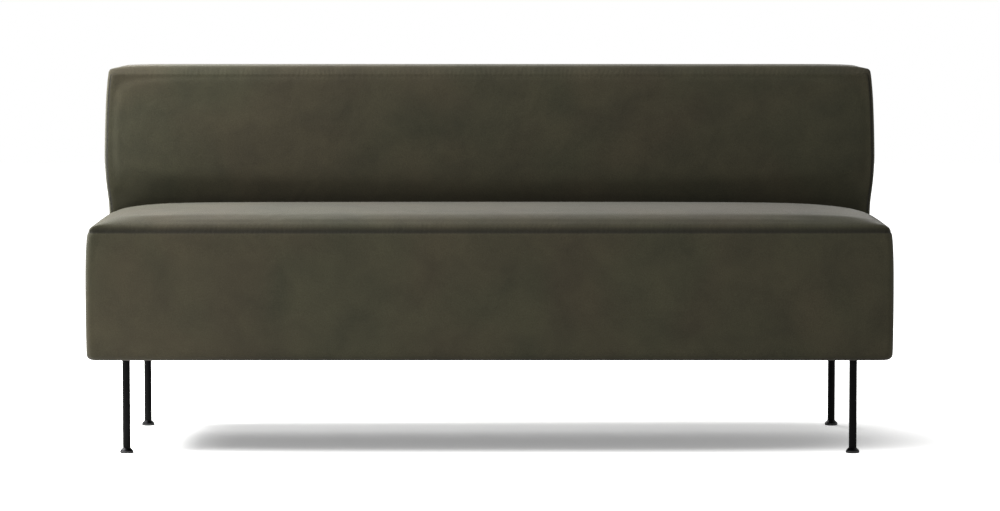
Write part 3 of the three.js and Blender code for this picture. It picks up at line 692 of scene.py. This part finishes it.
def pinch(piece, width):
    """Sew the seams: each point goes in by groove * exp(-distance / width)."""
    mesh = piece.data
    depth = values_of(mesh, "groove") * np.exp(-values_of(mesh, "from_seam") / width)
    move_points(mesh, points_of(mesh) - normals_of(mesh) * depth[:, None])


for cover in (seat_cover, back_cover):
    stuff(cover, 5 * mm)
    subdivide(cover)
    pinch(cover, 2.4 * mm)
    print(cover.name, "has", 2 * len(cover.data.polygons), "triangles")

wall = seat_cover.modifiers.new("velvet thickness", "SOLIDIFY")
wall.thickness, wall.offset = 2.5 * mm, -1
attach(seat_cover, "sofa")
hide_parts("seat_cover", "seat_topper", "seat_foam_core", "seat_border_foam")
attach(back_cover, "sofa")
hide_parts("back_cover", "back_front_foam", "back_wrap_foam")

# %% [markdown]
# ## Velvet
# The cover is a cotton velvet: a short cut pile that stands up from a woven ground. Each fibre
# throws light forward, so the cloth is dark face on and pale where it is seen at a low angle,
# which the shader's sheen gives. The pile also leans one way or another in soft patches as big as
# a hand, and each leans the light a little.


# %% Velvet material
def attribute(tree, label):
    """A number that is stored at each point of a piece."""
    return put(tree, "Attribute", attribute_name=label).outputs["Fac"]


velvet, tree = new_material("cotton velvet, olive brown")
place = object_place(tree)
patches = noise(tree, place, 11.0, 4.0, 0.6, 0.3)
drift = noise(tree, place, 5.0, 1.0, 0.5, 0.4)
brown = ramp(tree, patches, "#2d2a1f", "#3e3a2b", 0.3, 0.7)
green = ramp(tree, drift, "#3a3528", "#313325", 0.35, 0.65)
dyed = blend(tree, 0.4, brown, green)

# Painted shade: next to each seam the base colour is darkened towards #0a0906, as strongly as the
# groove is deep, in place of the shade in the seam's crease. The band's foot is darkened the same
# way.
deepest, darkest, under_shade_share = 2 * mm, 0.72, 0.75
seam_distance, seam_depth = attribute(tree, "from_seam"), attribute(tree, "groove")
in_grooves = compute(tree, "DIVIDE", seam_distance, seam_depth)
near_seam = rescale(tree, in_grooves, (0.0, 1.6), (1.0, 0.0), "SMOOTHSTEP")
painted_seam_shade = compute(tree, "MULTIPLY", near_seam, seam_depth)
under = compute(tree, "MULTIPLY", attribute(tree, "painted_under_shade"), under_shade_share)
shaded = compute(tree, "MULTIPLY_ADD", painted_seam_shade, darkest / deepest, under, clamp=True)
with_painted_shade = blend(tree, shaded, dyed, linear("#0a0906"))

pile = noise(tree, place, 420.0, 3.0, 0.75)
specks = rescale(tree, pile, (0.3, 0.7), (0.8, 1.2))
napped = blend(tree, 1.0, with_painted_shade, specks, "MULTIPLY")

gather_gap, gather_reach, wandering = 11 * mm, 16 * mm, 15.0
leaning = bump(tree, noise(tree, place, 16.0, 2.0, 0.5, 0.6), 0.4, 4 * mm)
along = compute(tree, "MULTIPLY", attribute(tree, "along_seam"), 2 * np.pi / gather_gap)
uneven = noise(tree, place, 30.0, 1.0)
waves = compute(tree, "SINE", compute(tree, "MULTIPLY_ADD", uneven, wandering, along))
fading = rescale(tree, seam_distance, (0.0, gather_reach), (1.0, 0.0), "SMOOTHERSTEP")
gathers = bump(tree, compute(tree, "MULTIPLY", waves, fading), 0.2, 0.5 * mm, leaning)
cloth_shader = put(
    tree,
    "BsdfPrincipled",
    {
        "Base Color": napped,
        "Roughness": 0.9,
        "Specular IOR Level": 0.15,
        "Sheen Weight": 0.15,
        "Sheen Roughness": 0.5,
        "Sheen Tint": linear("#fffdf8"),
        "Normal": bump(tree, pile, 0.6, 0.8 * mm, gathers),
    },
)
finish_with(tree, cloth_shader.outputs[0])
for cover in (seat_cover, back_cover):
    dress(cover, velvet)

# %% [markdown]
# ## The cloth underneath
# A black spunbond cloth closes the underside. It is cut from a roll, its edge is stapled under the
# rails, and it has a hole for each leg. Between its staples it hangs down a little, and in the
# middle it sags by a few millimetres. A grid can have round holes without a cut: the squares over
# each leg are left out, and the points round them are moved out on to a circle.

# %% Underside cloth, worked out
cloth_x, cloth_y = 801 * mm, 291 * mm
leg_x, leg_y = 749.5 * mm, 239.5 * mm
hole, hole_block = 9 * mm, 30 * mm
inner_square = 8 * mm


def lines_round_leg(leg, half):
    """Grid lines over a half side: fine round the leg's hole, and about 10 mm apart elsewhere."""
    hole_lines = np.linspace(-inner_square, inner_square, 5)
    block = leg + np.concatenate([[-hole_block, -20 * mm], hole_lines, [20 * mm, hole_block]])
    inside = np.linspace(0, block[0], int(block[0] / (10 * mm)) + 1)[:-1]
    outside = np.linspace(block[-1], half, 5)[1:]
    half_lines = np.concatenate([inside, block, outside])
    return np.concatenate([-half_lines[:0:-1], half_lines])


cloth_across = lines_round_leg(leg_x, cloth_x)
cloth_deep = lines_round_leg(leg_y, cloth_y)
v, u = np.meshgrid(cloth_deep, cloth_across, indexing="ij")
from_leg_x, from_leg_y = np.abs(u) - leg_x, np.abs(v) - leg_y
square = np.maximum(np.abs(from_leg_x), np.abs(from_leg_y))
distance_out = np.hypot(from_leg_x, from_leg_y)
on_circle = square / np.maximum(distance_out, 1e-9) * hole / inner_square
share = np.clip((hole_block - square) / (hole_block - inner_square), 0, 1)
push = 1 + share * (on_circle - 1)
u = np.where(square < hole_block, np.sign(u) * (leg_x + from_leg_x * push), u)
v = np.where(square < hole_block, np.sign(v) * (leg_y + from_leg_y * push), v)

staple_gap = 45 * mm
from_edge = np.minimum(cloth_x - np.abs(u), cloth_y - np.abs(v))
along = along_seam(u, v, cloth_x, cloth_y)
scallop = 0.5 * mm * np.cos(np.pi * along / staple_gap) ** 2 * np.exp(-from_edge / (14 * mm))
held_up = 1 - np.exp(-np.hypot(from_leg_x, from_leg_y) / (70 * mm))
sag = 5 * mm * (1 - np.exp(-from_edge / (90 * mm))) * held_up
ripple = 0.5 * mm * np.sin(u / (31 * mm) + 2 * np.sin(v / (83 * mm)))
ripple = ripple * (1 - np.exp(-from_edge / (50 * mm)))
cloth_points = as_points(u, v, 201.3 * mm - scallop - sag - ripple * held_up)
squares = grid_faces(len(cloth_deep), len(cloth_across))
middle = np.stack(
    np.broadcast_arrays(
        (cloth_across[1:] + cloth_across[:-1])[None, :] / 2,
        (cloth_deep[1:] + cloth_deep[:-1])[:, None] / 2,
    ),
    axis=-1,
)
off = np.abs(np.abs(middle) - np.array([leg_x, leg_y])).max(axis=-1).reshape(-1)
underside = new_piece("underside_spunbond", cloth_points, squares[off > inner_square][:, ::-1])
wall = underside.modifiers.new("cloth thickness", "SOLIDIFY")
wall.thickness, wall.offset = 0.6 * mm, 0
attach(underside, "sofa")
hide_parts("underside_cloth")
deepest_sag = (sag.max() / mm).round(1)
print("underside cloth:", len(underside.data.polygons), "faces,", deepest_sag, "mm sag")

# %% [markdown]
# ## Staples
# A staple gun puts one in about every 45 mm, through the cloth and the cover into the rails. Each
# is bent from flat wire, with its crown lying on the cloth. One is made as a small strip, and
# copies of its points are turned and placed along the edge, all in one array.

# %% Staples in a row round the edge
crown_half, wire, stand = 5.2 * mm, 0.6 * mm, 0.4 * mm
path_y = np.array([-1, -1, -0.86, 0.86, 1, 1]) * crown_half
path_z = np.array([1, 0.2, 0, 0, 0.2, 1]) * stand
flat_x = np.array([-1, 1, 1, -1]) * wire
flat_z = np.array([0, 0, 1, 1]) * wire * 0.6
one = as_points(flat_x[None, :], path_y[:, None], path_z[:, None] + flat_z[None, :])
one_faces = np.concatenate([grid_faces(6, 4, closed=True), [[0, 1, 2, 3], [23, 22, 21, 20]]])
row_x, row_y = cloth_x - 6 * mm, cloth_y - 6 * mm
counts = int(2 * row_x / staple_gap), int(2 * row_y / staple_gap)
along_x = (np.arange(counts[0]) - (counts[0] - 1) / 2) * staple_gap
along_y = (np.arange(counts[1]) - (counts[1] - 1) / 2) * staple_gap
spots = [np.stack([along_x, np.full(counts[0], side * row_y)], axis=-1) for side in (-1, 1)]
spots += [np.stack([np.full(counts[1], side * row_x), along_y], axis=-1) for side in (-1, 1)]
turned_by = np.concatenate([np.full(2 * counts[0], np.pi / 2), np.zeros(2 * counts[1])])
spots = np.concatenate(spots)
hand = np.random.default_rng(4)
askew, stray = 0.09, 0.8 * mm
turned_by = turned_by + hand.normal(0, askew, len(spots))
spots = spots + hand.normal(0, stray, spots.shape)
cos, sin = np.cos(turned_by)[:, None], np.sin(turned_by)[:, None]
staple_x = spots[:, :1] + one[:, 0] * cos - one[:, 1] * sin
staple_y = spots[:, 1:] + one[:, 0] * sin + one[:, 1] * cos
staple_points = as_points(staple_x, staple_y, one[:, 2] + 200.3 * mm)
steps = np.arange(len(spots))[:, None, None] * len(one)
staples = new_piece("hem_staples", staple_points, (one_faces + steps).reshape(-1, 4), smooth=False)
sew(staples)
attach(staples, "sofa")
print(len(spots), "staples")

# %% [markdown]
# ## Webbing
# Elastic upholstery webs are stretched over the rails, and each passes over and under the ones that
# cross it. A web is a flat strip with rounded edges. Its height along its length dips by twice its
# thickness where it goes under another one, and the dips take turns as in a basket.

# %% Webbing, worked out
web_half, web_top, web_thick = 30 * mm, 367.5 * mm, 1.8 * mm
web_front, web_rear, web_x = -289.4 * mm, 106.7 * mm, 799.4 * mm
cross_places = np.linspace(-web_x + web_half, web_x - web_half, 11)
long_places = web_front + (web_rear - web_front) * np.array([1, 2]) / 3
section_angle = np.linspace(0, 2 * np.pi, 13)[:-1]
section_u = np.sign(np.cos(section_angle)) * np.abs(np.cos(section_angle)) ** 0.25 * web_half
section_w = np.sin(section_angle) * web_thick / 2


def web(start, end, place, dips):
    """A strip from start to end whose middle goes under at each place where it dips.

    The dip is its depth times a bell that is flat over the crossing web: 1 / (1 + (d/36)^8) for a
    distance d in millimetres.
    """
    run = lines([start, end], [9 * mm, 9 * mm])
    low = np.zeros_like(run)
    for dip in dips:
        low = np.maximum(low, 1 / (1 + ((run - dip) / (36 * mm)) ** 8))
    middle = web_top - web_thick / 2 - 2.1 * mm * low
    points = as_points(run[:, None], place + section_u[None, :], middle[:, None] + section_w)
    faces = grid_faces(len(run), 12, closed=True)
    last = len(run) * 12 - 12
    ends = np.array([[0, 1, 2, 3], [0, 3, 4, 11], [4, 5, 10, 11], [5, 6, 9, 10], [6, 7, 8, 9]])
    return points, np.concatenate([faces, ends, ends[:, ::-1] + last])


runs = [(web_front, web_rear, x, long_places[n % 2 :: 2]) for n, x in enumerate(cross_places)]
runs += [(-web_x, web_x, y, cross_places[1 - n % 2 :: 2]) for n, y in enumerate(long_places)]
web_points, web_faces, made_so_far = [], [], 0
for number, run in enumerate(runs):
    points, faces = web(*run)
    web_points.append(points[:, [1, 0, 2]] if number < len(cross_places) else points)
    web_faces.append(faces + made_so_far)
    made_so_far += len(points)
webs = new_piece("elastic_webs", np.concatenate(web_points), np.concatenate(web_faces))
sew(webs)
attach(webs, "sofa")
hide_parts("seat_webbing")
print("webs:", len(webs.data.polygons), "faces")

# %% [markdown]
# ## Legs and levelling feet
# Each leg is a steel tube with a stud at its top, and in its lower end turns a threaded foot: a
# cone that is gripped by hand, on a pad that stays still on the floor. They could be cylinders, but
# real turned parts have small rounds at their edges, which catch the light. So each is a profile
# that is carried once round its axis, with a short curve at each of its corners.


# %% Turned parts
def rounded_profile(corners, radii, steps=4):
    """A profile of radius and height with its corners rounded.

    A corner C with a radius is replaced by the curve (1-t)^2 A + 2 t (1-t) C + t^2 B, where A and B
    lie at that radius along the two sides. One more point each side keeps the flat parts flat.
    """
    corners = np.array(corners, float) * mm
    rows = [corners[:1]]
    t = np.linspace(0, 1, steps + 1)[:, None]
    for before, corner, after, radius in zip(corners[:-2], corners[1:-1], corners[2:], radii):
        back, forward = before - corner, after - corner
        back, forward = back / np.linalg.norm(back), forward / np.linalg.norm(forward)
        a, b = corner + back * radius * mm, corner + forward * radius * mm
        curve = (1 - t) ** 2 * a + 2 * t * (1 - t) * corner + t**2 * b
        extra = 0.4 * radius * mm
        rows += [a[None] + back * extra, curve, b[None] + forward * extra]
    return np.concatenate([*rows, corners[-1:]])


def turned_piece(name, profile, x, y, sides=48):
    """Carry a profile of radius and height once round the upright axis through x, y."""
    angle = np.linspace(0, 2 * np.pi, sides + 1)[:-1]
    radius, height = profile[:, :1], profile[:, 1:]
    points = as_points(x + radius * np.cos(angle), y + radius * np.sin(angle), height)
    return sew(new_piece(name, points, grid_faces(len(profile), sides, closed=True)))


leg_corners = [[0, 189.5], [6.5, 189.5], [6.5, 11.1], [8, 11.1], [8, 201.5]]
leg_corners += [[5, 201.5], [5, 225.5], [0, 225.5]]
leg_profile = rounded_profile(leg_corners, [0.3, 0.3, 0.35, 0.35, 0.2, 0.8])
pad_profile = rounded_profile(
    [[0, 0], [14, 0], [14, 4.5], [3.3, 4.5], [3.3, 2], [0, 2]],
    [1.5, 0.6, 0.3, 0.2],
)
cone_profile = rounded_profile(
    [[0, 2.3], [3, 2.3], [3, 4.8], [13.2, 4.8], [13.2, 6], [8, 10.8], [4, 10.8], [4, 12]],
    [0.4, 0.2, 0.3, 0.5, 0.5, 0.2],
)
rod_foot, rod_end, pitch = 12, 40.8, 1.25
rod_rows, rod_sides = 185, 32


def screw_thread(x, y):
    """The threaded rod above the cone: its radius is 4 mm less 0.72 mm times a rounded wave.

    The wave runs with height / pitch - angle / turn, so its crests climb as a right-hand thread.
    """
    angle = np.linspace(0, 2 * np.pi, rod_sides + 1)[:-1]
    height = np.linspace(rod_foot, rod_end, rod_rows)[:, None]
    turns = height / pitch - angle[None, :] / (2 * np.pi)
    wave = np.clip(np.abs(2 * (turns % 1) - 1) * 1.3 - 0.15, 0, 1)
    radius = 4 - 0.72 * wave * np.clip((height - rod_foot) / pitch, 0, 1)
    radius = np.minimum(radius, 3 + (rod_end - height))
    around, aside = radius * mm * np.cos(angle), radius * mm * np.sin(angle)
    points = as_points(x + around, y + aside, height * mm)
    cap = np.arange(rod_sides)[None, ::-1] + (rod_rows - 1) * rod_sides
    faces = grid_faces(rod_rows, rod_sides, closed=True)
    return points.tolist(), faces.tolist() + cap.tolist()


corners = {
    "front_left": (-leg_x, -leg_y),
    "front_right": (leg_x, -leg_y),
    "rear_left": (-leg_x, leg_y),
    "rear_right": (leg_x, leg_y),
}
for corner, (x, y) in corners.items():
    leg = turned_piece(f"tube_leg_{corner}", leg_profile, x, y)
    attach(leg, "sofa")
    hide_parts(f"leg_{corner}")
    cone = turned_piece(f"threaded_foot_{corner}", cone_profile, x, y, sides=rod_sides)
    rod_points, rod_faces = screw_thread(x, y)
    both = bmesh.new()
    both.from_mesh(cone.data)
    rod = bpy.data.meshes.new("rod")
    rod.from_pydata(rod_points, [], rod_faces)
    both.from_mesh(rod)
    both.to_mesh(cone.data)
    both.free()
    bpy.data.meshes.remove(rod)
    sew(cone)
    cone.data.polygons.foreach_set("use_smooth", np.full(len(cone.data.polygons), True))
    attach(cone, f"screw_{corner}")
    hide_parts(f"foot_screw_{corner}")
    pad = turned_piece(f"glide_{corner}", pad_profile, x, y)
    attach(pad, f"pad_{corner}")
    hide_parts(f"foot_pad_{corner}")
print("legs, feet and pads at", list(corners))

# %% [markdown]
# ## Black finishes
# The legs are powder-coated: a dry paint is baked on, and as it melts it draws together into a
# faint orange peel, a millimetre or two across. The feet are zinc plated and then blackened, which
# keeps the metal's gloss. The glides are moulded in nylon with a spark-eroded texture.


# %% Black finishes
def wear(tree, bumps, **sockets):
    """A shader with a chain of bumps, each a noise's scale, a strength and a depth in metres."""
    place = object_place(tree)
    normal = None
    for scale, strength, depth in bumps:
        normal = bump(tree, noise(tree, place, scale, 2.0), strength, depth, normal)
    named = {name.replace("_", " "): value for name, value in sockets.items()}
    return put(tree, "BsdfPrincipled", {**named, "Normal": normal}).outputs[0]


def two_tones(tree, scale, low, high, start=0.35, end=0.65, stretch=(1, 1, 1), detail=3.0):
    """A noise with two colours, whose scale is multiplied by a factor along each axis."""
    place = object_place(tree)
    place = put(tree, "Mapping", {"Vector": place, "Scale": stretch}).outputs[0]
    return ramp(tree, noise(tree, place, scale, detail), low, high, start, end)


def plain_finish(name, tones, bumps, gloss=None, **sockets):
    """A material of two tones with bumps, as two_tones and wear take them.

    The gloss, if there is one, is a scale and the two roughnesses that the surface wanders between.
    """
    material, tree = new_material(name)
    if gloss:
        scale, smooth, rough = gloss
        wandering = two_tones(tree, scale, "#000000", "#ffffff")
        sockets["Roughness"] = rescale(tree, wandering, (0.0, 1.0), (smooth, rough))
    finish_with(tree, wear(tree, bumps, Base_Color=two_tones(tree, *tones), **sockets))
    return material


powder_coat = plain_finish(
    "powder-coated steel, black",
    (25, "#050505", "#0a0a0b"),
    [(650.0, 0.25, 0.2 * mm)],
    gloss=(60, 0.38, 0.5),
    IOR=1.5,
    Specular_IOR_Level=0.06,
)
black_zinc = plain_finish(
    "blackened zinc-plated steel",
    (120, "#0e0e0f", "#171718"),
    [(900.0, 0.15, 0.1 * mm)],
    gloss=(240, 0.36, 0.55),
    Metallic=1.0,
)
nylon = plain_finish(
    "moulded nylon, black",
    (80, "#0d0d0e", "#151516"),
    [(1500.0, 0.5, 0.2 * mm), (90.0, 0.1, 0.5 * mm)],
    Roughness=0.58,
    IOR=1.53,
)
zinc = plain_finish(
    "zinc-plated steel",
    (35, "#a3a7ab", "#bcbdb8"),
    [(500.0, 0.12, 0.2 * mm)],
    gloss=(90, 0.28, 0.48),
    Metallic=1.0,
)

# %% [markdown]
# ## Timber and boards
# The frame is sawn pine, which has pale early wood and darker late wood in lines a few millimetres
# apart, and the saw leaves it a little rough. Noise drawn out along the length of each board gives
# the lines, so each direction in the frame has its own pine. The deck is birch plywood, and its
# edges show the plies. The backrest's front board is plywood too, and its rear board is hardboard.


# %% Pine, plywood and hardboard
def pine_along(axis):
    """Sawn pine whose grain runs along an axis: the noise is 30 times longer that way."""
    material, tree = new_material(f"sawn pine, grain along {'xyz'[axis]}")
    stretch = [1.0, 1.0, 1.0]
    stretch[axis] = 1 / 30
    late = two_tones(tree, 190, "#b58a55", "#d9b985", 0.42, 0.6, stretch, 2.0)
    drift = two_tones(tree, 14, "#f2e3cc", "#ffffff", 0.35, 0.65, stretch)
    colour = blend(tree, 0.8, late, drift, "MULTIPLY")
    sawn = [(260.0, 0.3, 0.4 * mm), (900.0, 0.3, 0.2 * mm)]
    finish_with(tree, wear(tree, sawn, Base_Color=colour, Roughness=0.75))
    return material


pine = [pine_along(axis) for axis in range(3)]

birch, tree = new_material("birch plywood")
ply_thickness = 1.4 * mm
place = object_place(tree)
height = put(tree, "SeparateXYZ", {0: place}).outputs["Z"]
ply = compute(tree, "PINGPONG", height, 2 * ply_thickness)
ply = compute(tree, "GREATER_THAN", ply, ply_thickness)
facing = put(tree, "NewGeometry").outputs["Normal"]
upward = compute(tree, "ABSOLUTE", put(tree, "SeparateXYZ", {0: facing}).outputs["Z"])
edge = compute(tree, "LESS_THAN", upward, 0.5)
dark_ply = compute(tree, "MULTIPLY", ply, edge)
veneer = two_tones(tree, 80, "#cfae7e", "#e2c79c", 0.4, 0.62, (1 / 20, 1, 1))
colour = blend(tree, dark_ply, veneer, linear("#94693c"))
sanded = [(420.0, 0.25, 0.3 * mm)]
finish_with(tree, wear(tree, sanded, Base_Color=colour, Roughness=0.62))

hardboard = plain_finish(
    "hardboard",
    (300, "#6b4a2f", "#8a6744", 0.35, 0.65, (0.4, 1, 1)),
    [(700.0, 0.4, 0.3 * mm), (60.0, 0.1, 0.6 * mm)],
    Roughness=0.7,
)

# %% [markdown]
# ## Webs and underside cloth
# The webs are woven from rubber and polypropylene: ribs lie across each web about 2 mm apart, and
# the eye reads them as fine lines. The underside cloth isn't woven. Its fibres lie every way, and a
# hot roller has pressed them together in a grid of small dots. The real grid is 1.5 mm, and here it
# is drawn at 3 mm, or it wouldn't show.

# %% Webbing and spunbond
webbing, tree = new_material("elastic webbing, black")
place = object_place(tree)
ribbed = {"Vector": place, "Scale": 160.0, "Distortion": 0.6, "Detail": 1.0}
ribs = [put(tree, "TexWave", ribbed, bands_direction=way).outputs["Fac"] for way in ("X", "Y")]
weave = compute(tree, "MULTIPLY", *ribs)
web_shader = put(
    tree,
    "BsdfPrincipled",
    {
        "Base Color": ramp(tree, weave, "#1a1918", "#3a3836"),
        "Roughness": 0.72,
        "Sheen Weight": 0.15,
        "Normal": bump(tree, weave, 0.6, 0.6 * mm),
    },
)
finish_with(tree, web_shader.outputs[0])

spunbond, tree = new_material("spunbond polypropylene, black")
place = object_place(tree)
dots = put(tree, "TexVoronoi", {"Vector": place, "Scale": 330.0, "Randomness": 0.15})
pressed = rescale(tree, dots.outputs["Distance"], (0.2, 0.42), (0.0, 1.0))
quilted = bump(tree, pressed, 0.5, 0.4 * mm)
fibres = noise(tree, place, 900.0, 3.0, distortion=2.0)
spunbond_shader = put(
    tree,
    "BsdfPrincipled",
    {
        "Base Color": two_tones(tree, 420, "#101011", "#1b1b1c", 0.3, 0.7),
        "Roughness": 0.9,
        "Specular IOR Level": 0.25,
        "Sheen Weight": 0.05,
        "Normal": bump(tree, fibres, 0.4, 0.3 * mm, quilted),
    },
)
finish_with(tree, spunbond_shader.outputs[0])

# %% [markdown]
# ## Giving out the finishes
# A new piece gets its finish in its mesh. The solids that keep their shape get theirs in the slots
# of their objects, and their meshes aren't touched.


# %% Finishes on pieces and solids
def dress_solid(node, material):
    """Put one material in each slot of a solid's object."""
    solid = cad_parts[node]
    for holder in solid.material_slots:
        holder.link = "OBJECT"
        holder.material = material


dress(underside, spunbond)
dress(staples, zinc)
dress(webs, webbing)
for corner in corners:
    dress(bpy.data.objects[f"tube_leg_{corner}"], powder_coat)
    dress(bpy.data.objects[f"threaded_foot_{corner}"], black_zinc)
    dress(bpy.data.objects[f"glide_{corner}"], nylon)
    dress_solid(f"leg_plate_{corner}", zinc)
    dress_solid(f"leg_insert_{corner}", zinc)
    dress_solid(f"plate_screw_{corner}_1", zinc)
    dress_solid(f"plate_screw_{corner}_2", zinc)
    dress_solid(f"corner_block_{corner}", pine[2])
for number in (1, 2, 3):
    dress_solid(f"back_coach_screw_{number}", zinc)
boards_along = {
    0: ["seat_front_rail", "seat_rear_rail", "back_support_beam", "webbing_cleat"]
    + ["back_bottom_rail", "back_top_rail"],
    1: ["seat_left_rail", "seat_right_rail", "seat_cross_rail_1", "seat_cross_rail_2"],
    2: ["back_post_left", "back_post_middle", "back_post_right"],
}
for axis, nodes in boards_along.items():
    for node in nodes:
        dress_solid(node, pine[axis])
dress_solid("back_support_deck", birch)
dress_solid("back_front_board", birch)
dress_solid("back_rear_board", hardboard)
print("materials:", sorted(material.name for material in bpy.data.materials))
